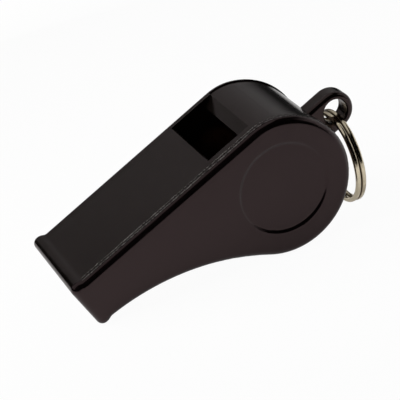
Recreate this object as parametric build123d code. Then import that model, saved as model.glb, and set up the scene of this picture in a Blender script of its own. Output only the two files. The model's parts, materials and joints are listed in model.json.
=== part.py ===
from build123d import *
import math
import os

# A moulded pea whistle: body, welded side cover, loose pea and split ring.
#
# The body is drawn in a profile frame: x runs back from the mouthpiece tip along the flat
# top face, z is square to that face, and y runs across the width with the cover at low y.
# It is then tilted to the attitude in which the whistle stands on a table, on its barrel
# and its lower lip, with the ring hanging behind. Lengths are in millimetres, angles in degrees.

# Outline of the body
width = 20.0                # over the two cheeks, without the lip
tip_height = 8.6            # depth of the mouthpiece at its tip
barrel_radius = 12.25
barrel_reach = 37.1         # tip to barrel axis, along the top face
barrel_rise = 0.45          # the barrel's round, were it whole, would stand this far over the top face
crown_share = 0.73          # radius of the turn from the top face onto the barrel, over the barrel's
cover_round = 1.2           # rounding round the outer edge of the cover
cheek_round = 0.9           # rounding round the outer edge of the far cheek

# Walls
cover_thickness = 1.35
cheek_wall = 1.6            # the far cheek, which is part of the body
barrel_wall = 2.1
near_band = 1.6             # wall beside the window, next to the cover
rim_height = 0.2            # the rims stand this much over the barrel between them
rim_flat = 0.15             # level strip on the far rim, beside its rounding
roof_thickness = 1.1
floor_thickness = 1.4       # windway floor
underside_wall = 1.5
tip_wall = 2.0              # end wall under the mouth

# Windway, window and blade
windway_mouth = 3.0         # height of the windway at the tip
windway_exit = 1.2          # height of the windway at the window
window_length = 6.5         # from the roof's end to the blade
blade_lead = 0.1            # blade edge ahead of the barrel's axis
blade_land = 0.2            # thickness of the blade's blunt edge
ramp_angle = 32.0           # slope of the ramp behind the blade
roof_chamfer = 0.2          # broken edge at the roof's end

# Bite lips: the tip flares into a rounded rim, by a curve that is level at both its ends
upper_lip_proud = 0.33      # over the top face
upper_lip_crest = 1.5       # from the tip's end face to the back of the crest
upper_lip_flare = 1.5       # length of the curve from the crest to the top face
upper_lip_round = 1.2       # front edge, seen from the side
lower_lip_proud = 0.36      # under the underside
lower_lip_crest = 1.3
lower_lip_flare = 1.4
lower_lip_round = 1.1
side_lip_proud = 0.55        # past the far cheek
side_lip_crest = 1.2
side_lip_flare = 1.7

# Shallow round panels sunk into the cheeks
panel_radius = 7.85         # to the middle of the soft wall
panel_depth = 0.3
panel_wall = 0.9            # width of the soft wall

# Ribs that locate the cover in the body
rib_height = 0.8
rib_thickness = 0.9
rib_clearance = 0.1

# Lanyard lug on the barrel's back
lug_reach = 3.45            # centre of the hole behind the barrel
lug_drop = 0.9              # centre of the hole below the barrel axis
lug_hole_radius = 2.2
lug_wall = 1.2              # material round the hole
lug_thickness = 3.6
lug_round = 0.8             # round the outside
lug_hole_round = 0.3        # round the hole's edges

# Pea
pea_radius = 5.0
pea_clearance = 0.3         # to the chamber wall, all the way round

# Split ring
ring_radius = 7.8           # centre line of the wire
wire_diameter = 0.85
turn_gap = 0.45             # between the two turns
ring_clearance = 0.15       # between the wire and the lug's hole
split_place = 150.0         # where the wire steps over, from the top towards the far side
split_half_angle = 20.0     # half the arc that the step takes

# Places that follow from the sizes above
axis_x = barrel_reach
axis_z = barrel_rise - barrel_radius
chamber_radius = barrel_radius - barrel_wall
y_near = -width / 2
y_seam = y_near + cover_thickness
y_band = y_seam + near_band
y_far = width / 2
y_inner = y_far - cheek_wall
blade_x = axis_x - blade_lead
blade_z = axis_z + chamber_radius + blade_land
window_front = blade_x - window_length
lug_x = axis_x + barrel_radius + lug_reach
lug_z = axis_z - lug_drop
lug_radius = lug_hole_radius + lug_wall
lug_edge = min(lug_round, 0.65 * lug_wall, 0.45 * lug_thickness)
lug_hole_edge = min(lug_hole_round, 0.3 * lug_wall)
upper_lip_edge = min(upper_lip_round, 0.9 * upper_lip_crest)
lower_lip_edge = min(lower_lip_round, 0.9 * lower_lip_crest)
shorter_crest = min(upper_lip_crest, lower_lip_crest)
cover_edge = min(cover_round, 0.9 * cover_thickness, 0.95 * shorter_crest)
cheek_edge = min(cheek_round, 0.9 * cheek_wall, 0.95 * shorter_crest)
y_rim = y_far - cheek_edge - rim_flat
lower_lip_z = -tip_height - lower_lip_proud
lower_lip_foot = lower_lip_crest + lower_lip_flare

# The top face runs level over the front of the barrel, then turns down onto its round by a tighter
# arc. The underside is an arc that is level at the tip and tangent to the barrel.
crown_radius = crown_share * barrel_radius
crown_x = axis_x + math.sqrt((barrel_radius - crown_radius) ** 2 - (crown_radius + axis_z) ** 2)
crown_turn = math.atan2(crown_x - axis_x, -crown_radius - axis_z)
underside_radius = (axis_x**2 + (axis_z + tip_height) ** 2 - barrel_radius**2) / (
    2 * (barrel_radius - axis_z - tip_height)
)
underside_centre_z = -tip_height - underside_radius

# Anything drawn past the body's skin goes this far, so that cuts come out clean.
past = 3.0


def slab(profile, y_low, y_high):
    """Carry a profile of x and z across the whistle, from y_low to y_high."""
    return extrude(Plane.XZ.offset(-y_high) * profile, amount=y_high - y_low, dir=(0, -1, 0))


def on_axis(profile):
    """Move a profile drawn round the origin to the barrel's axis."""
    return Pos(axis_x, axis_z) * profile


def side_outline(inset=0.0):
    """Side view of the body without its lips, with all but its end face moved inwards by the inset."""
    level, leave = math.pi / 2, math.pi / 2 - crown_turn
    meet = math.atan2(axis_z - underside_centre_z, axis_x)

    def round_from(x, z, radius, first, last):
        points = [
            (x + radius * math.cos(angle), z + radius * math.sin(angle))
            for angle in (first, (first + last) / 2, last)
        ]
        return ThreePointArc(*points)

    crown = round_from(crown_x, -crown_radius, crown_radius - inset, level, leave)
    barrel = round_from(axis_x, axis_z, barrel_radius - inset, leave, meet - math.pi)
    underside = round_from(0, underside_centre_z, underside_radius + inset, meet, level)
    return make_face([Polyline(underside @ 1, (0, -inset), crown @ 0), crown, barrel, underside])


def biarc(start, start_way, end, end_way):
    """Two arcs that join two points smoothly along the given unit directions."""
    chord = end - start
    along = chord.dot(start_way + end_way)
    bend = 2 * (1 - start_way.dot(end_way))
    square = chord.dot(chord)
    reach = square / (math.sqrt(along**2 + bend * square) + along)
    joint = (start + end + (start_way - end_way) * reach) * 0.5
    first = TangentArc(start, joint, tangent=start_way)
    return [first, TangentArc(joint, end, tangent=first % 1)]


def upper_lip():
    """Side view of the upper lip, from inside the roof up to its crest."""
    foot = Vector(upper_lip_crest + upper_lip_flare, 0)
    crest = Vector(upper_lip_crest, upper_lip_proud)
    forward, base = Vector(-1, 0), -roof_thickness / 2
    curve = biarc(foot, forward, crest, forward)
    return make_face(curve + [Polyline(crest, (0, crest.Y), (0, base), (foot.X, base), foot)])


def lower_lip():
    """Side view of the lower lip, which the whistle stands on."""
    turn = math.asin(lower_lip_foot / underside_radius)
    foot = Vector(lower_lip_foot, underside_centre_z + underside_radius * math.cos(turn))
    crest = Vector(lower_lip_crest, lower_lip_z)
    base = underside_wall - tip_height
    curve = biarc(foot, Vector(-math.cos(turn), math.sin(turn)), crest, Vector(-1, 0))
    return make_face(curve + [Polyline(crest, (0, crest.Y), (0, base), (foot.X, base), foot)])


def skin_outline():
    """The outer side view, with the tip flared into its lips."""
    outline = side_outline() + upper_lip() + lower_lip()
    for corner, rounding in (((0, upper_lip_proud), upper_lip_edge), ((0, lower_lip_z), lower_lip_edge)):
        outline = fillet(outline.vertices().sort_by_distance(corner)[0], rounding)
    return outline


def floor_z(x):
    """Height of the windway's floor, which rises evenly from the mouth to the exit."""
    drop = windway_mouth + (windway_exit - windway_mouth) * x / window_front
    return -roof_thickness - drop


def windway_profile():
    """The air slot under the roof, from ahead of the tip to the window."""
    return make_face(
        Polyline(
            (-past, -roof_thickness),
            (window_front, -roof_thickness),
            (window_front, floor_z(window_front)),
            (-past, floor_z(-past)),
            close=True,
        )
    )


def up_ramp(height):
    """The place on the ramp behind the blade that is this high."""
    return blade_x + (height - blade_z) / math.tan(math.radians(ramp_angle)), height


def window_profile():
    """The gap between the roof's end and the blade, with the ramp behind the blade."""
    return make_face(
        Polyline(
            (window_front, axis_z),
            (window_front, -roof_chamfer),
            (window_front - roof_chamfer, 0),
            (window_front - roof_chamfer, past),
            up_ramp(past),
            (blade_x, blade_z),
            (blade_x, axis_z),
            close=True,
        )
    )


def pocket_profile(extra=0.0):
    """The hollow under the windway floor, drawn in by an extra on all its walls."""
    under_floor = floor_thickness + extra
    above = make_face(
        Polyline(
            (-past, past),
            (axis_x, past),
            (axis_x, floor_z(axis_x) - under_floor),
            (-past, floor_z(-past) - under_floor),
            close=True,
        )
    )
    wall_x = tip_wall + extra
    ahead = Pos(wall_x / 2 - past, -tip_height / 2) * Rectangle(wall_x + 2 * past, tip_height + 2 * past)
    hollow = side_outline(underside_wall + extra) - above - ahead
    return hollow - on_axis(Circle(barrel_radius + extra))


def rim_recess_profile():
    """The thin layer that the barrel and underside lack between the rims, from the ramp to the lip."""
    lip_zone = Pos(lower_lip_foot / 2 - past, -tip_height / 2) * Rectangle(
        lower_lip_foot + 2 * past, tip_height + 2 * past
    )
    ramp_top, _ = up_ramp(-rim_height)
    top_zone = Pos(ramp_top / 2 - past, axis_z / 2 + past) * Rectangle(
        ramp_top + 2 * past, 2 * past - axis_z
    )
    return side_outline() - side_outline(rim_height) - lip_zone - top_zone


def side_lip():
    """The far cheek's flare: a curve seen from above, cut to the outline of the side view."""
    foot = Vector(side_lip_crest + side_lip_flare, y_far)
    crest = Vector(side_lip_crest, y_far + side_lip_proud)
    forward = Vector(-1, 0)
    curve = biarc(foot, forward, crest, forward)
    sides = Polyline(crest, (-past, crest.Y), (-past, y_inner), (foot.X, y_inner), foot)
    tall = tip_height + 2 * past
    block = Pos(0, 0, -tip_height - past) * extrude(make_face(curve + [sides]), amount=tall)
    return slab(skin_outline(), y_inner, crest.Y) & block


def cheek_panel():
    """The space of a cheek's panel: a dish with a soft wall, sunk along y from the cheek's face."""
    floor, rim = panel_radius - panel_wall / 2, panel_radius + panel_wall / 2
    start, end, outward = Vector(floor, panel_depth), Vector(rim, 0), Vector(1, 0)
    wall = biarc(start, outward, end, outward)
    half = make_face(wall + [Polyline(end, (rim, -past), (0, -past), (0, panel_depth), start)])
    return Pos(axis_x, 0, axis_z) * revolve(half, Axis.Y)


def rim_edges(solid, side):
    """Edges where the faces that look to one side, 1 or -1 along y, meet the other faces."""
    edges = [e for face in solid.faces() if side * face.normal_at().Y > 0.7 for e in face.edges()]
    return [e for e in edges if sum(e.is_same(other) for other in edges) == 1]


def lug():
    """The lanyard lug: a tongue from the barrel's axis outwards, well rounded, with a round hole."""
    tongue = Pos((axis_x + lug_x) / 2, lug_z) * Rectangle(lug_x - axis_x, 2 * lug_radius)
    profile = tongue + Pos(lug_x, lug_z) * Circle(lug_radius)
    plate = slab(profile, -lug_thickness / 2, lug_thickness / 2)
    faces = plate.faces().sort_by(Axis.Y)
    plate = fillet(faces[0].edges() + faces[-1].edges(), lug_edge)
    plate -= slab(Pos(lug_x, lug_z) * Circle(lug_hole_radius), -lug_thickness, lug_thickness)
    faces = plate.faces().sort_by(Axis.Y)
    hole_edges = [edge for face in (faces[0], faces[-1]) for edge in face.inner_wires()[0].edges()]
    return fillet(hole_edges, lug_hole_edge)


def body_shell():
    """Far cheek, barrel, roof, windway floor, underside and lug in one moulding."""
    shell = slab(skin_outline(), y_seam, y_far) + side_lip()
    shell = fillet(rim_edges(shell, 1), cheek_edge)
    shell -= slab(rim_recess_profile(), y_band, y_rim)
    shell -= Pos(0, y_far, 0) * mirror(cheek_panel(), about=Plane.XZ)
    shell += lug()
    shell -= slab(on_axis(Circle(chamber_radius)), y_seam, y_inner)
    shell -= slab(windway_profile(), y_seam, y_inner)
    shell -= slab(pocket_profile(), y_seam, y_inner)
    shell -= slab(window_profile(), y_band, y_inner)
    return shell


def side_cover():
    """The near cheek, with ribs that fit the chamber and the pocket."""
    cover = slab(skin_outline(), y_near, y_seam)
    cover = fillet(rim_edges(cover, -1), cover_edge)
    cover -= Pos(0, y_near, 0) * cheek_panel()

    chamber_rib = on_axis(Circle(chamber_radius - rib_clearance))
    chamber_rib -= on_axis(Circle(chamber_radius - rib_clearance - rib_thickness))
    pocket_rib = pocket_profile(rib_clearance) - pocket_profile(rib_clearance + rib_thickness)
    for rib in (chamber_rib, pocket_rib):
        cover += slab(rib, y_seam - cover_thickness / 2, y_seam + rib_height)
    return cover


def ring_path(centre_x, centre_z):
    """Centre line of the split ring: two flat turns with one step from plane to plane."""
    pitch = wire_diameter + turn_gap

    def at(angle, plane):
        turn = math.radians(split_place + angle)
        across = ring_radius * math.sin(turn)
        return Vector(centre_x + plane * pitch / 2, across, centre_z + ring_radius * math.cos(turn))

    def way(angle):
        turn = math.radians(split_place + angle)
        return Vector(0, math.cos(turn), -math.sin(turn))

    arc = (360 - 2 * split_half_angle) / 4
    turns = []
    for plane in (-1, 1):
        starts = [split_half_angle + arc * k for k in range(4)]
        turns.append(
            [ThreePointArc(at(a, plane), at(a + arc / 2, plane), at(a + arc, plane)) for a in starts]
        )
    before, after = -split_half_angle, split_half_angle
    step = biarc(at(before, -1), way(before), at(after, 1), way(after))
    return Wire(turns[0] + step + turns[1])


def split_ring(path):
    """Round wire along the ring's path, where each arc keeps a face of its own."""
    section = Plane(origin=path @ 0, z_dir=path % 0) * Circle(wire_diameter / 2)
    return sweep(section, path=path, clean=False)


def least_gap(path):
    """Least space between parts of the wire that lie a quarter turn or more apart along it."""
    count = 400
    points = [path @ (k / count) for k in range(count + 1)]
    apart = math.ceil(count * (math.pi / 2) * ring_radius / path.length)
    distances = [
        (points[i] - points[k]).length for i in range(count + 1) for k in range(i + apart, count + 1)
    ]
    return min(distances) - wire_diameter


# The tilt puts the barrel and the lower lip's rounded front edge on one level.
contact_x = lower_lip_edge
contact_z = lower_lip_z + lower_lip_edge
span_x, span_z = axis_x - contact_x, axis_z - contact_z
lift = barrel_radius - lower_lip_edge
rest_tilt = math.asin(lift / math.hypot(span_x, span_z)) - math.atan2(span_z, span_x)

# Standing frame: barrel axis over the origin, at the barrel's radius above the table.
stand = Pos(0, 0, barrel_radius) * Rot(0, -math.degrees(rest_tilt), 0) * Pos(-axis_x, 0, -axis_z)
hole = (stand * Pos(lug_x, 0, lug_z)).position

# The pea lies at the bottom of the chamber, midway between the cheeks.
orbit_radius = chamber_radius - pea_radius - pea_clearance
pea_place = Pos(0, (y_seam + y_inner) / 2, barrel_radius - orbit_radius)

# The ring hangs plumb, with its wires just clear of the hole at the lug's two faces.
half_pitch = (wire_diameter + turn_gap) / 2
sag = ring_radius - math.sqrt(ring_radius**2 - (lug_thickness / 2) ** 2)
room = lug_hole_radius - wire_diameter / 2 - ring_clearance
ring_drop = math.sqrt(room**2 - half_pitch**2) - sag
path = ring_path(hole.X, hole.Z - ring_drop - ring_radius)

pieces = {
    "body_shell": stand * body_shell(),
    "side_cover": stand * side_cover(),
    "pea": pea_place * Sphere(pea_radius),
    "split_ring": split_ring(path),
}

# The origin is on the table, under the middle of the whole whistle's length and width.
boxes = [piece.bounding_box() for piece in pieces.values()]
back, front = max(box.max.X for box in boxes), min(box.min.X for box in boxes)
left, right = max(box.max.Y for box in boxes), min(box.min.Y for box in boxes)
middle_x, middle_y = (back + front) / 2, (left + right) / 2

os.makedirs("parts", exist_ok=True)
for name, piece in pieces.items():
    export_step(Pos(-middle_x, -middle_y, 0) * piece, f"parts/{name}.step")

print(f"length {back - front:.3f}, width {left - right:.3f}, height {max(box.max.Z for box in boxes):.3f}")
print(f"rest tilt {math.degrees(rest_tilt):.3f} degrees, underside radius {underside_radius:.2f}")
print(f"barrel axis at x {-middle_x:.3f}, z {barrel_radius:.3f}, middle of the cheeks at y {-middle_y:.3f}")
print(f"lug hole at x {hole.X - middle_x:.3f}, z {hole.Z:.3f}, ring drop {ring_drop:.3f}")
print(f"pea orbit radius {orbit_radius:.3f}")
ring_share = pieces["split_ring"].volume / (path.length * math.pi * wire_diameter**2 / 4)
print(f"split ring: wire length {path.length:.1f}, volume over section times length {ring_share:.4f}")
print(f"split ring: least gap between turns {least_gap(path):.3f}")
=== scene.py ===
# %% [markdown]
# # A moulded pea whistle
#
# The whistle is a black plastic body with a cover welded on its near side, a cork pea inside
# and a nickel-plated split ring in its lug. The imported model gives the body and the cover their
# exact shape and place. This file adds what a maker sees on the real thing: the rough flash that
# the weld left, the two tight turns of the ring, the pitted cork, and the finish of each surface.

# %% Load the whistle
import json

import bpy
import numpy as np
from mathutils import Matrix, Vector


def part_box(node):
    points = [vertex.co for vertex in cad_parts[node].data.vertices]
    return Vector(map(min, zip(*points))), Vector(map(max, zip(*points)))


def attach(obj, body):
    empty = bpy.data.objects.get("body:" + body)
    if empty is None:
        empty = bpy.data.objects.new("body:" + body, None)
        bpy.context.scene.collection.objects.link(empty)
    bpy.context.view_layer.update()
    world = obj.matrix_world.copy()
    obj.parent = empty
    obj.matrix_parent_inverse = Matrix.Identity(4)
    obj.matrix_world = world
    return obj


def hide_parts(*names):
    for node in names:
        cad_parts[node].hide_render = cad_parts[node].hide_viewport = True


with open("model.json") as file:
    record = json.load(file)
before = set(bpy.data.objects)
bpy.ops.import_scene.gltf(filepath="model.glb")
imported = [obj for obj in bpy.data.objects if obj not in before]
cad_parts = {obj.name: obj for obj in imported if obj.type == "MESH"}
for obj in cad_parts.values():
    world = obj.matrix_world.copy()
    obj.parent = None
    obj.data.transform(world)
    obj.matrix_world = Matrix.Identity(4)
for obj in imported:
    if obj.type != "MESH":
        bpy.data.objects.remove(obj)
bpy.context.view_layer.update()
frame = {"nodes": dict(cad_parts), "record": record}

MM = 0.001  # one millimetre, in Blender's metres
scene = bpy.context.scene
scene.view_settings.view_transform = "Standard"

# %% [markdown]
# ## A few small tools
#
# Colours are written as the hex values that a colour picker shows, but shader sockets expect
# linear light, so one function does the change. Two more start an empty material and add a node
# to it. The last two put a mesh into the scene, as it is or as a skin over a stack of rings. Every
# new piece here is a profile carried along a path, or a ball cut into rings, so one kind of skin
# serves them all.

# %% Colour, material and node
def linear(hex_colour):
    """Turn an sRGB hex colour into linear RGBA, by the sRGB curve's straight and power parts."""
    srgb = np.array([int(hex_colour[i : i + 2], 16) for i in (1, 3, 5)]) / 255
    light = np.where(srgb <= 0.04045, srgb / 12.92, ((srgb + 0.055) / 1.055) ** 2.4)
    return (*light.tolist(), 1.0)


def blank_material(name):
    """Make a material with an empty node tree, and give both."""
    material = bpy.data.materials.new(name)
    material.use_nodes = True
    material.node_tree.nodes.clear()
    return material, material.node_tree


def add_node(tree, kind, sockets=None, **settings):
    """Add a node. A socket given another node's output is linked to it, any other value is set."""
    node = tree.nodes.new("ShaderNode" + kind)
    for name, value in settings.items():
        setattr(node, name, value)
    for name, value in (sockets or {}).items():
        if isinstance(value, bpy.types.NodeSocket):
            tree.links.new(value, node.inputs[name])
        else:
            node.inputs[name].default_value = value
    return node


print("mid grey in linear light:", round(linear("#808080")[0], 3))

# %% Piece and skin
def new_piece(name, points, faces):
    """Put points, in millimetres, and faces into a mesh, and its object into the scene."""
    mesh = bpy.data.meshes.new(name)
    mesh.from_pydata((points * MM).tolist(), [], faces)
    piece = bpy.data.objects.new(name, mesh)
    scene.collection.objects.link(piece)
    return piece


def closed_skin(name, rings, first_tip, last_tip, lengths=None):
    """Skin rings of points, in millimetres, into a closed mesh.

    Neighbouring rings are joined by four-sided faces, and each end ring by a fan of triangles to
    its tip. The UV map holds the length along the stack, in millimetres, and the share of a turn.
    """
    count, around, _ = rings.shape
    here = np.arange(count * around).reshape(count, around)
    beside = np.roll(here, -1, axis=1)
    quads = np.stack([here[:-1], beside[:-1], beside[1:], here[1:]], axis=-1).reshape(-1, 4)
    tips = np.full(around, count * around)
    fans = np.concatenate(
        [
            np.stack([beside[0], here[0], tips], axis=-1),
            np.stack([here[-1], beside[-1], tips + 1], axis=-1),
        ]
    )
    points = np.concatenate([rings.reshape(-1, 3), [first_tip], [last_tip]])
    piece = new_piece(name, points, quads.tolist() + fans.tolist())
    mesh = piece.data

    lengths = np.arange(count, dtype=float) if lengths is None else lengths
    turn = np.arange(around) / around
    along = np.stack([lengths[:-1], lengths[:-1], lengths[1:], lengths[1:]], axis=-1)
    across = np.stack([turn, turn + 1 / around, turn + 1 / around, turn], axis=-1)
    quad_uv = np.empty((count - 1, around, 4, 2))
    quad_uv[..., 0], quad_uv[..., 1] = along[:, None], across[None]
    fan_uv = np.empty((2, around, 3, 2))
    fan_uv[..., 0] = np.array([lengths[0], lengths[-1]])[:, None, None]
    fan_uv[..., 1] = across[None, :, :3]
    uv = np.concatenate([quad_uv.ravel(), fan_uv.ravel()])
    mesh.uv_layers.new(name="UVMap").data.foreach_set("uv", uv)
    mesh.polygons.foreach_set("use_smooth", np.ones(len(mesh.polygons), dtype=bool))
    mesh.update()
    print(f"{name}: {len(mesh.polygons)} faces, {np.ptp(points, axis=0).round(2)} mm")
    return piece


# %% [markdown]
# ## The camera
#
# The photograph looks down on the near side from the left front, with the camera rolled so that
# the whistle climbs to the right. The camera is placed by the point it aims at, a distance and
# three angles, because these can be read and turned one at a time.

# %% Camera
aim = np.array([-1.16, -0.18, 10.01])       # mm
distance = 289.43                           # mm
swing, drop, roll = np.radians([18.045, 28.178, 11.635])

forward = np.array([np.sin(swing) * np.cos(drop), np.cos(swing) * np.cos(drop), -np.sin(drop)])
level_right = np.array([np.cos(swing), -np.sin(swing), 0.0])
level_up = np.cross(level_right, forward)
right = np.cos(roll) * level_right - np.sin(roll) * level_up
up = np.cos(roll) * level_up + np.sin(roll) * level_right

camera = bpy.data.objects.new("camera", bpy.data.cameras.new("camera"))
scene.collection.objects.link(camera)
axes = np.eye(4)
axes[:3, 0], axes[:3, 1], axes[:3, 2] = right, up, -forward
axes[:3, 3] = (aim - forward * distance) * MM
camera.matrix_world = Matrix(axes.tolist())
camera.data.sensor_width, camera.data.lens = 36.0, 156.24      # mm
scene.camera = camera
print("camera at", (axes[:3, 3] / MM).round(1), "mm")

# %% [markdown]
# ## The light and the floor
#
# A glossy black thing is lit by what it mirrors. Here it stands on white paper inside a ring of
# card, with one soft light on the left and a grey room above. The card is black and tall in front
# and to the right, so the rounded edges show as thin black lines, and a pale strip at its right foot
# draws a lighter line beside them. Behind, it is low and pale, so the top and the barrel shine
# softly. It is lowest on the left, where the light comes in. The side mirrors the paper, and the
# barrel's back catches the paper behind it. The card is hidden from the camera alone. The paper is
# near white by itself, and a share of plain white in what the camera, a mirror or a lens sees keeps
# it white while the shadow stays.

# %% Paper floor
paper_size = 6000.0         # mm
camera_white = 0.96         # share of plain white that the camera sees
mirror_white = 0.30         # the same in a reflection or through a lens
corners = np.array([[-1, -1, 0], [1, -1, 0], [1, 1, 0], [-1, 1, 0]]) * paper_size / 2
paper = new_piece("paper_floor", corners, [[0, 1, 2, 3]])

white_paper, tree = blank_material("white_paper")
ray = add_node(tree, "LightPath").outputs
mirrored = add_node(
    tree, "Math", {0: ray["Is Glossy Ray"], 1: ray["Is Transmission Ray"]}, operation="MAXIMUM"
)
in_mirror = add_node(tree, "Math", {0: mirrored.outputs[0], 1: mirror_white}, operation="MULTIPLY")
in_camera = add_node(tree, "Math", {0: ray["Is Camera Ray"], 1: camera_white}, operation="MULTIPLY")
share = add_node(tree, "Math", {0: in_camera.outputs[0], 1: in_mirror.outputs[0]}, operation="MAXIMUM")
sheet = add_node(tree, "BsdfDiffuse", {"Color": linear("#F4F4F2")})
plain_white = add_node(tree, "Emission", {"Color": linear("#FFFFFF"), "Strength": 1.0})
mixed = add_node(
    tree, "MixShader", {0: share.outputs[0], 1: sheet.outputs[0], 2: plain_white.outputs[0]}
)
add_node(tree, "OutputMaterial", {"Surface": mixed.outputs[0]})
paper.data.materials.append(white_paper)
print("paper floor:", paper_size, "mm square")

# %% Ring of card
card_radius = 118.0                                         # mm
card_front, card_back, card_left = 285.0, 130.0, 40.0       # mm, heights
around = np.linspace(0, 2 * np.pi, 97)[:-1]
# Degrees from the right: the black card ends at 50, the grey one goes from 70 to 130, the opening
# for the light from 150 to 195, and the black card starts again at 225.
card_top = np.interp(
    np.degrees(around),
    [50, 70, 130, 150, 195, 225],
    [card_front, card_back, card_back, card_left, card_left, card_front],
)
ring_x, ring_y = card_radius * np.cos(around), card_radius * np.sin(around)
foot = np.stack([ring_x, ring_y, np.zeros_like(around)], axis=-1)
head = np.stack([ring_x, ring_y, card_top], axis=-1)
card_points = np.stack([foot, head], axis=1).reshape(-1, 3)
column = np.arange(2 * len(around)).reshape(-1, 2)
beside = np.roll(column, -1, axis=0)
card_faces = np.stack([column[:, 0], column[:, 1], beside[:, 1], beside[:, 0]], axis=-1)
card = new_piece("ring_of_card", card_points, card_faces.tolist())
card.visible_camera = False
print("ring of card: radius", card_radius, "mm, height", card_front, "to", card_left, "mm")

# %% Matte card
# The card's colours are painted light and shade of a studio room, which the plastic mirrors. It is
# black in front and on the far left. Behind, it is painted dark at its foot and pale from 40 mm up.
# The pale part comes lower on the left and is painted dimmer to the right. The pale strip at the
# right's foot is a painted light, and shows in the cover's rounded rim as a thin line round the barrel.
pale_low, pale_high = 10 * MM, 40 * MM          # heights where the pale part begins and is whole
pale_slant = 0.2                                # its rise from left to right, per millimetre
pale_back = 60 * MM                             # it is whole this far behind the whistle's middle
pale_left, pale_left_whole = -75 * MM, -62 * MM
dim_from, dim_to, dimmed = -30 * MM, 60 * MM, 0.75
strip_left, strip_whole = 92 * MM, 104 * MM
strip_low, strip_high = 60 * MM, 110 * MM       # heights where the strip begins to fade and ends

matte_card, tree = blank_material("matte_card")
place = add_node(tree, "TexCoord")
x, y, z = add_node(tree, "SeparateXYZ", {"Vector": place.outputs["Object"]}).outputs
slant = add_node(tree, "Math", {0: x, 1: -pale_slant, 2: z}, operation="MULTIPLY_ADD")
rise_up = add_node(
    tree, "MapRange", {"Value": slant.outputs[0], "From Min": pale_low, "From Max": pale_high}
)
behind = add_node(tree, "MapRange", {"Value": y, "From Min": 0.0, "From Max": pale_back})
inside = add_node(tree, "MapRange", {"Value": x, "From Min": pale_left, "From Max": pale_left_whole})
dims = add_node(
    tree,
    "MapRange",
    {"Value": x, "From Min": dim_from, "From Max": dim_to, "To Min": 1.0, "To Max": dimmed},
)
wide = add_node(tree, "Math", {0: behind.outputs[0], 1: inside.outputs[0]}, operation="MULTIPLY")
pale_part = add_node(tree, "Math", {0: wide.outputs[0], 1: dims.outputs[0]}, operation="MULTIPLY")
grey = add_node(
    tree, "Mix", {0: rise_up.outputs[0], 6: linear("#383838"), 7: linear("#CACACA")}, data_type="RGBA"
)
shade = add_node(
    tree, "Mix", {0: pale_part.outputs[0], 6: linear("#0A0A0A"), 7: grey.outputs[2]}, data_type="RGBA"
)
# Painted light: a pale strip at the card's right foot stands in for a light there.
on_right = add_node(tree, "MapRange", {"Value": x, "From Min": strip_left, "From Max": strip_whole})
at_foot = add_node(
    tree,
    "MapRange",
    {"Value": z, "From Min": strip_low, "From Max": strip_high, "To Min": 1.0, "To Max": 0.0},
)
strip = add_node(tree, "Math", {0: on_right.outputs[0], 1: at_foot.outputs[0]}, operation="MULTIPLY")
striped = add_node(
    tree, "Mix", {0: strip.outputs[0], 6: shade.outputs[2], 7: linear("#DCDCDC")}, data_type="RGBA"
)
painted_room_light = add_node(tree, "BsdfDiffuse", {"Color": striped.outputs[2]})
add_node(tree, "OutputMaterial", {"Surface": painted_room_light.outputs[0]})
card.data.materials.append(matte_card)
print("matte card:", len(tree.nodes), "nodes")

# %% Soft light and room
lamp = bpy.data.objects.new("soft_light", bpy.data.lights.new("soft_light", "AREA"))
lamp.data.shape = "RECTANGLE"
lamp.data.size, lamp.data.size_y = 0.56, 0.26       # m, level and upwards
lamp.location = (-0.33, 0.03, 0.22)                 # m
lamp.rotation_euler = (-lamp.location).to_track_quat("-Z", "Y").to_euler()
lamp.data.energy = 2.50                             # W
# The lamp is hidden from mirror rays, or it would show as a glaring spot in every rounded corner.
lamp.visible_glossy = False
scene.collection.objects.link(lamp)

room = bpy.data.worlds.new("grey_room")
scene.world = room
room.use_nodes = True
room.node_tree.nodes.clear()
walls = add_node(room.node_tree, "Background", {"Color": linear("#B0B0B0"), "Strength": 1.0})
add_node(room.node_tree, "OutputWorld", {"Surface": walls.outputs[0]})
print("soft light:", lamp.data.energy, "W over", lamp.data.size, "by", lamp.data.size_y, "m")

# %% [markdown]
# ## Black ABS, as it comes from the mould
#
# The body and cover are moulded in black ABS. A satin mould gives them a fine grain and a soft
# mirror, and years in pockets leave faint long scuffs. A plain black with one roughness would look
# like wet paint, so the grain is a bump, and clouds and scuffs change the gloss from place to
# place. All of it is drawn on Object coordinates, in millimetres, so it stays on the plastic.

# %% Moulded ABS
grain_size = 0.3                        # mm; a satin mould's is about 0.08, drawn at two pixels to show
cloud_size = 7.0                        # mm, the melt's slow clouds of gloss
scuff_length, scuff_width = 9.0, 0.25   # mm
gloss_low, gloss_high = 0.12, 0.18      # roughness of the clearest and the dullest clouds


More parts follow.
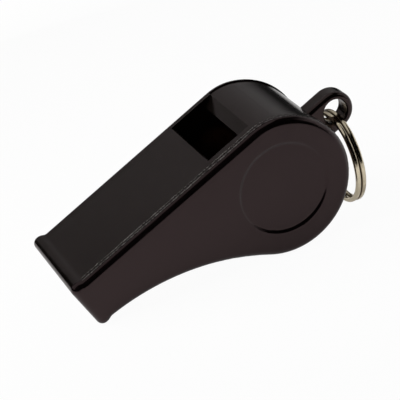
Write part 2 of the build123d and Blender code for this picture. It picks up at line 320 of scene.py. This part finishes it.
def moulded_abs(name, deep, worn, sheen, turn):
    """Black ABS: grain as bump, slow clouds of gloss, and scuffs along the turned x axis."""
    material, tree = blank_material(name)
    place = add_node(tree, "TexCoord")
    in_mm = add_node(tree, "Mapping", {"Vector": place.outputs["Object"], "Scale": (1 / MM,) * 3})

    grain = add_node(
        tree,
        "TexNoise",
        {"Vector": in_mm.outputs[0], "Scale": 1 / grain_size, "Detail": 2.0, "Roughness": 0.6},
    )
    clouds = add_node(
        tree, "TexNoise", {"Vector": in_mm.outputs[0], "Scale": 1 / cloud_size, "Detail": 3.0}
    )
    # A noise squeezed to a scuff's length and width has strokes of that shape.
    squeeze = (1 / scuff_length, 1 / scuff_width, 1 / scuff_width)
    along = add_node(
        tree, "Mapping", {"Vector": in_mm.outputs[0], "Rotation": turn, "Scale": squeeze}
    )
    strokes = add_node(tree, "TexNoise", {"Vector": along.outputs[0], "Scale": 1.0, "Detail": 1.0})
    scuffs = add_node(
        tree,
        "MapRange",
        {"Value": strokes.outputs["Fac"], "From Min": 0.68, "From Max": 0.80},
        interpolation_type="SMOOTHSTEP",
    )
    marks = add_node(tree, "Math", {0: scuffs.outputs[0], 1: 0.3}, operation="MULTIPLY")
    fade = add_node(
        tree, "Math", {0: clouds.outputs["Fac"], 1: 0.5, 2: marks.outputs[0]}, operation="MULTIPLY_ADD"
    )
    colour = add_node(
        tree, "Mix", {0: fade.outputs[0], 6: linear(deep), 7: linear(worn)}, data_type="RGBA"
    )
    gloss = add_node(
        tree,
        "MapRange",
        {
            "Value": clouds.outputs["Fac"],
            "From Min": 0.3,
            "From Max": 0.7,
            "To Min": gloss_low,
            "To Max": gloss_high,
        },
    )
    scuffed = add_node(
        tree, "Math", {0: scuffs.outputs[0], 1: 0.06, 2: gloss.outputs[0]}, operation="MULTIPLY_ADD"
    )
    bump = add_node(
        tree, "Bump", {"Height": grain.outputs["Fac"], "Strength": 0.10, "Distance": 0.03 * MM}
    )
    plastic = add_node(
        tree,
        "BsdfPrincipled",
        {
            "Base Color": colour.outputs[2],
            "Roughness": scuffed.outputs[0],
            "Normal": bump.outputs[0],
            "IOR": 1.54,
            "Specular Tint": linear(sheen),
        },
    )
    add_node(tree, "OutputMaterial", {"Surface": plastic.outputs[0]})
    print(f"{name}: {len(tree.nodes)} nodes")
    return material


# %% Plastic of the body and the cover
frame["nodes"]["body_shell"].material_slots[0].material = moulded_abs(
    "moulded_black_abs_body", "#080605", "#110D0C", "#FFDCDA", (0.3, 0.2, 0.5)
)
frame["nodes"]["side_cover"].material_slots[0].material = moulded_abs(
    "moulded_black_abs_cover", "#090606", "#120B0C", "#FFDADC", (0.1, 1.2, -0.4)
)

# %% [markdown]
# ## The weld flash
#
# The cover is welded to the body by vibration. The melt squeezes out on both sides of the joint
# and sets as two thin ragged lines of flash, which catch the light all along the top edge. A bevel
# or a texture would stay smooth or flat, so each line is a profile carried along the joint, with
# its size drawn from a seeded row of random numbers.

# %% The joint's path
record = frame["record"]
pea_hinge = next(joint for joint in record["behaviour"]["joints"] if joint["name"] == "pea_orbit")
mouthpiece = next(mount for mount in record["mounts"] if mount["name"] == "mouthpiece")
barrel_centre = np.array(pea_hinge["pos_m"])[[0, 2]] / MM       # world x and z, mm
tilt = np.arctan2(-mouthpiece["axis"][2], -mouthpiece["axis"][0])
cover_thickness = 1.35                  # mm, as are the sizes below
joint_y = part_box("side_cover")[0][1] / MM + cover_thickness
barrel_radius = 12.25
reach, axis_z = 37.1, 0.45 - barrel_radius      # the barrel's axis, along the top face and under it
crown_radius = 0.73 * barrel_radius     # the turn from the top face onto the barrel
tip_height = 8.6

# The crown's arc is level where the top face ends, and its centre lies on a line through the
# barrel's centre and their meeting point. The underside's arc is level at the tip, and its centre
# is as far from the barrel's as their two radii together.
crown_x = reach + np.sqrt((barrel_radius - crown_radius) ** 2 - (crown_radius + axis_z) ** 2)
crown_turn = np.arctan2(crown_x - reach, -crown_radius - axis_z)
underside_radius = (reach**2 + (axis_z + tip_height) ** 2 - barrel_radius**2) / (
    2 * (barrel_radius - axis_z - tip_height)
)
underside_z = -tip_height - underside_radius
barrel_end = np.arctan2(reach, axis_z - underside_z)


def joint_path(start_x, end_x, step):
    """Points and outward normals of the joint, in the side view, at even steps in millimetres.

    The path is a straight line along the top face, the crown's arc, the barrel's own arc round
    the back, and the hollow arc of the underside to the tip. On an arc the normal points from
    the centre, or to it where the arc is hollow.
    """
    top_x = np.arange(start_x, crown_x, step)
    top = np.stack([top_x, np.zeros_like(top_x)], axis=-1)
    top_out = np.tile([0.0, 1.0], (len(top), 1))

    over_crown = np.arange(0, crown_turn, step / crown_radius)
    crown_out = np.stack([np.sin(over_crown), np.cos(over_crown)], axis=-1)
    crown = np.array([crown_x, -crown_radius]) + crown_radius * crown_out

    round_back = np.arange(crown_turn, np.pi - barrel_end, step / barrel_radius)
    barrel_out = np.stack([np.sin(round_back), np.cos(round_back)], axis=-1)
    barrel = np.array([reach, axis_z]) + barrel_radius * barrel_out

    end = np.arcsin(end_x / underside_radius)
    under_turn = np.arange(barrel_end, end, -step / underside_radius)
    under_out = -np.stack([np.sin(under_turn), np.cos(under_turn)], axis=-1)
    under = np.array([0.0, underside_z]) - underside_radius * under_out
    points = np.concatenate([top, crown, barrel, under])
    return points, np.concatenate([top_out, crown_out, barrel_out, under_out])


lip_root = 2.6                          # mm from the tip, where the joint comes out of the lips
joint, joint_out = joint_path(lip_root, lip_root, 0.08)
gaps = np.linalg.norm(np.diff(joint, axis=0), axis=1)
print(f"joint: {len(joint)} points, {gaps.sum():.1f} mm long, widest step {gaps.max():.3f} mm")

# %% The flash's size and wear
flash_apart = 0.62                      # mm, between the two lines
flash_shift = -0.10                     # mm, their middle lies this far over the cover
flash_width, flash_height = 0.08, 0.15  # mm, half the width and the height over the skin
flash_sink = 0.08                       # mm, its root lies this deep in the plastic
flash_taper = 0.6                       # mm, it thins out over this length at its ends
rag = 0.18                              # mm, length of one lump along the joint
hair = 0.01                             # mm, the least size, so that no face closes up
worn_from, worn_over = crown_x - lip_root, 5.1      # mm along the joint: wear's start and its length
worn_share = 0.25                       # what wear leaves of the flash
table_reach = 2.0                       # mm, the height up to which the table rubs it off
luck = np.random.default_rng(12)

turned = np.array([[np.cos(tilt), np.sin(tilt)], [-np.sin(tilt), np.cos(tilt)]])
seam = (joint - [reach, axis_z]) @ turned + barrel_centre
seam_out = joint_out @ turned
length = np.concatenate([[0.0], np.cumsum(gaps)])
taper = np.clip(np.minimum(length, length[-1] - length) / flash_taper, 0, 1) ** 0.5
# Flash is whole on the flat top. Pockets and the table have worn it down round the barrel.
kept = np.interp(length, [worn_from, worn_from + worn_over], [1.0, worn_share])
kept *= np.clip(seam[:, 1] / table_reach, 0, 1)
print(f"flash: {flash_height} mm high at most, {kept.mean():.2f} of it kept on average")


def lumps(size, low, high):
    """Random values at every lump of the given size, joined by straight lines, along the joint."""
    knots = np.arange(0, length[-1] + size, size)
    return np.interp(length, knots, luck.uniform(low, high, len(knots)))


# %% Two lines of flash
def flash_line(name, offset):
    """One line of flash: half an ellipse over the skin and half below, lumpy along its length."""
    height = flash_height * lumps(rag, 0.15, 1.0) * lumps(6.0, 0.7, 1.1)
    height = (height * kept + hair) * taper
    width = flash_width * lumps(rag, 0.5, 1.0) * kept * taper + hair
    wander = lumps(2.5, -0.03, 0.03) + lumps(0.4, -0.03, 0.03) + offset
    bend = np.linspace(0, 2 * np.pi, 11)[:-1]
    sink = flash_sink * taper[:, None] + hair / 2
    lift = np.where(np.sin(bend) > 0, height[:, None], sink) * np.sin(bend)
    rings = np.stack(
        [
            seam[:, None, 0] + lift * seam_out[:, None, 0],
            joint_y + width[:, None] * np.cos(bend) + wander[:, None],
            seam[:, None, 1] + lift * seam_out[:, None, 1],
        ],
        axis=-1,
    )
    line = closed_skin(name, rings, rings[0].mean(axis=0), rings[-1].mean(axis=0), length)
    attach(line, "whistle")
    return line


flash = [
    flash_line("weld_flash_outer", flash_shift - flash_apart / 2),
    flash_line("weld_flash_inner", flash_shift + flash_apart / 2),
]

# %% Squeezed ABS
# Plastic that was stretched as it set turns pale and dull, which is part of why the flash shows
# grey. Its pale spots are painted highlights, glints along the ragged flash.
spot_size = 0.3                         # mm, length of a pale spot
squeezed, tree = blank_material("squeezed_abs")
place = add_node(tree, "TexCoord")
spots = add_node(
    tree,
    "TexNoise",
    {"Vector": place.outputs["Object"], "Scale": 1 / (spot_size * MM), "Detail": 2.0},
)
pale = add_node(tree, "MapRange", {"Value": spots.outputs["Fac"], "From Min": 0.40, "From Max": 0.62})
colour = add_node(
    tree, "Mix", {0: pale.outputs[0], 6: linear("#2A2827"), 7: linear("#8A8682")}, data_type="RGBA"
)
plastic = add_node(
    tree,
    "BsdfPrincipled",
    {"Base Color": colour.outputs[2], "Roughness": 0.4, "IOR": 1.54, "Specular IOR Level": 0.3},
)
add_node(tree, "OutputMaterial", {"Surface": plastic.outputs[0]})
for line in flash:
    line.data.materials.append(squeezed)
print("squeezed ABS:", len(tree.nodes), "nodes")

# %% [markdown]
# ## The split ring
#
# A split ring is spring steel wire wound twice round, with one short step from turn to turn, so
# that it opens like a key ring. The two turns lie against each other. The wire is a slightly
# squared section carried along that path, and the ring keeps the place of the one it replaces.

# %% Ring path and wire
low, high = (np.array(corner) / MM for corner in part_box("split_ring"))
ring_centre = (low + high) / 2
wire_out, wire_across = 0.90, 0.92      # mm, section measured outwards and along the ring's axis
turn_apart = 0.93                       # mm, from turn to turn
solid_wire = 0.85                       # mm, the wire of the ring that is replaced
ring_radius = (high[2] - low[2] - solid_wire) / 2
split_at, split_half = 150.0, 20.0      # degrees from the top, towards the far side
dome = 0.3                              # mm, rounding of the wire's cut ends

sweep = np.radians(np.linspace(split_at + split_half, split_at - split_half + 720, 681))
step = np.clip((np.degrees(sweep) - (split_at - split_half + 360)) / (2 * split_half), 0, 1)
over = (step * step * (3 - 2 * step) - 0.5) * turn_apart
line = np.stack([over, ring_radius * np.sin(sweep), ring_radius * np.cos(sweep)], axis=-1) + ring_centre
wire_length = np.concatenate([[0.0], np.cumsum(np.linalg.norm(np.diff(line, axis=0), axis=1))])
way = np.gradient(line, axis=0)
way /= np.linalg.norm(way, axis=1, keepdims=True)
outward = np.stack([np.zeros_like(sweep), np.sin(sweep), np.cos(sweep)], axis=-1)
sideways = np.cross(way, outward)

to_end = np.minimum(wire_length, wire_length[-1] - wire_length)
ends = np.sqrt(1 - (1 - np.clip(to_end / dome, 0.02, 1)) ** 2)
bend = np.linspace(0, 2 * np.pi, 25)[:-1]
squared = 0.8                           # below 1, the power of cosine and sine squares a circle
profile_out = np.sign(np.cos(bend)) * np.abs(np.cos(bend)) ** squared * wire_out / 2
profile_side = np.sign(np.sin(bend)) * np.abs(np.sin(bend)) ** squared * wire_across / 2
rings = (
    line[:, None]
    + (ends[:, None] * profile_out)[..., None] * outward[:, None]
    + (ends[:, None] * profile_side)[..., None] * sideways[:, None]
)
split_ring = closed_skin("nickel_ring", rings, line[0], line[-1], wire_length)
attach(split_ring, "ring")
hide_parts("split_ring")
print(f"wire: {wire_length[-1]:.1f} mm")

# %% Nickel plate on drawn wire
# Bright nickel is a warm white metal. Fine draw marks run along the wire, and random tarnish
# dulls it in patches. The groove between the turns is painted dark brown and rougher, as shade
# between the wires.
mark_length, marks_round = 12.0, 21     # mm, and their number round the wire
tarnish_size = 1.5                      # mm
nickel, tree = blank_material("bright_nickel_plate")
place = add_node(tree, "TexCoord")
# Draw marks are about 0.05 mm wide. They are drawn 0.15 mm wide so that they show, and the wire is
# about 3.2 mm round, which makes 21 of them.
drawn = add_node(
    tree, "Mapping", {"Vector": place.outputs["UV"], "Scale": (1 / mark_length, marks_round, 1.0)}
)
marks = add_node(tree, "TexNoise", {"Vector": drawn.outputs[0], "Scale": 1.0, "Detail": 2.0})
in_mm = add_node(
    tree,
    "Mapping",
    {
        "Vector": place.outputs["Object"],
        "Location": (-ring_centre[0], 0, 0),
        "Scale": (1 / MM,) * 3,
    },
)
tarnish = add_node(
    tree, "TexNoise", {"Vector": in_mm.outputs[0], "Scale": 1 / tarnish_size, "Detail": 4.0}
)
parts = add_node(tree, "SeparateXYZ", {"Vector": in_mm.outputs[0]})
# Painted shade: the wire is darkened within 0.3 mm of the groove between the turns.
off_groove = add_node(tree, "Math", {0: parts.outputs["X"]}, operation="ABSOLUTE")
groove = add_node(
    tree,
    "MapRange",
    {"Value": off_groove.outputs[0], "From Min": 0.3, "From Max": 0.05},
    interpolation_type="SMOOTHSTEP",
)
dull = add_node(
    tree,
    "MapRange",
    {"Value": tarnish.outputs["Fac"], "From Min": 0.5, "From Max": 0.75, "To Max": 0.5},
)
tarnish_and_groove_shade = add_node(tree, "Math", {0: groove.outputs[0], 1: dull.outputs[0]}, operation="MAXIMUM")
colour = add_node(
    tree, "Mix", {0: tarnish_and_groove_shade.outputs[0], 6: linear("#F4E6CA"), 7: linear("#5E4628")}, data_type="RGBA"
)
gloss = add_node(tree, "Math", {0: tarnish_and_groove_shade.outputs[0], 1: 0.2, 2: 0.12}, operation="MULTIPLY_ADD")
bump = add_node(tree, "Bump", {"Height": marks.outputs["Fac"], "Strength": 0.1, "Distance": 0.02 * MM})
metal = add_node(
    tree,
    "BsdfPrincipled",
    {
        "Base Color": colour.outputs[2],
        "Roughness": gloss.outputs[0],
        "Normal": bump.outputs[0],
        "Metallic": 1.0,
    },
)
add_node(tree, "OutputMaterial", {"Surface": metal.outputs[0]})
split_ring.data.materials.append(nickel)
print("nickel:", len(tree.nodes), "nodes")

# %% [markdown]
# ## The cork pea
#
# The pea is a ball turned from cork. It is never quite smooth, because the bark's pores open on
# its surface as small pits. A ball on a grid of latitude and longitude is pressed in at seeded
# places, so that the pits are real dents and the ball never grows past its size.

# %% Pitted ball
low, high = (np.array(corner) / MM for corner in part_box("pea"))
pea_centre, pea_radius = (low + high) / 2, (high[0] - low[0]) / 2
pit_count, pit_width, pit_depth = 70, 0.55, 0.28        # mm

down, about = np.meshgrid(
    np.linspace(0, np.pi, 90)[1:-1], np.linspace(0, 2 * np.pi, 161)[:-1], indexing="ij"
)
outward = np.stack([np.sin(down) * np.sin(about), np.sin(down) * np.cos(about), np.cos(down)], axis=-1)
pits = luck.normal(size=(pit_count, 3))
pits /= np.linalg.norm(pits, axis=1, keepdims=True)
pit_size = pit_width * luck.uniform(0.5, 1.3, pit_count)
apart = pea_radius * np.sqrt(np.maximum(2 - 2 * outward @ pits.T, 0))
dent = (pit_depth * np.exp(-((apart / pit_size) ** 2))).max(axis=-1)
rings = pea_centre + outward * (pea_radius - dent)[..., None]
pole = np.array([0.0, 0.0, pea_radius])
cork_pea = closed_skin("cork_pea", rings, pea_centre + pole, pea_centre - pole)
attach(cork_pea, "pea")
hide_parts("pea")

# %% Turned cork
# Cork is a dry warm brown, mottled by its grains and darker where the pores are. This one's browns
# are painted dark, as shade for the chamber it sits in.
grain_width, speck_width = 1.4, 0.5     # mm, of cork's grains and of the pores' dark specks
cork, tree = blank_material("turned_cork")
place = add_node(tree, "TexCoord")
in_mm = add_node(tree, "Mapping", {"Vector": place.outputs["Object"], "Scale": (1 / MM,) * 3})
grains = add_node(tree, "TexVoronoi", {"Vector": in_mm.outputs[0], "Scale": 1 / grain_width})
specks = add_node(
    tree, "TexNoise", {"Vector": in_mm.outputs[0], "Scale": 1 / speck_width, "Detail": 3.0}
)
dark = add_node(tree, "MapRange", {"Value": specks.outputs["Fac"], "From Min": 0.55, "From Max": 0.7})
grain_tone = add_node(
    tree,
    "Mix",
    {0: grains.outputs["Distance"], 6: linear("#70502F"), 7: linear("#573A20")},
    data_type="RGBA",
)
colour = add_node(
    tree, "Mix", {0: dark.outputs[0], 6: grain_tone.outputs[2], 7: linear("#2C1A0D")}, data_type="RGBA"
)
bump = add_node(tree, "Bump", {"Height": specks.outputs["Fac"], "Strength": 0.4, "Distance": 0.1 * MM})
bark = add_node(
    tree,
    "BsdfPrincipled",
    {
        "Base Color": colour.outputs[2],
        "Normal": bump.outputs[0],
        "Roughness": 0.85,
        "Specular IOR Level": 0.3,
    },
)
add_node(tree, "OutputMaterial", {"Surface": bark.outputs[0]})
cork_pea.data.materials.append(cork)
print("cork:", len(tree.nodes), "nodes")
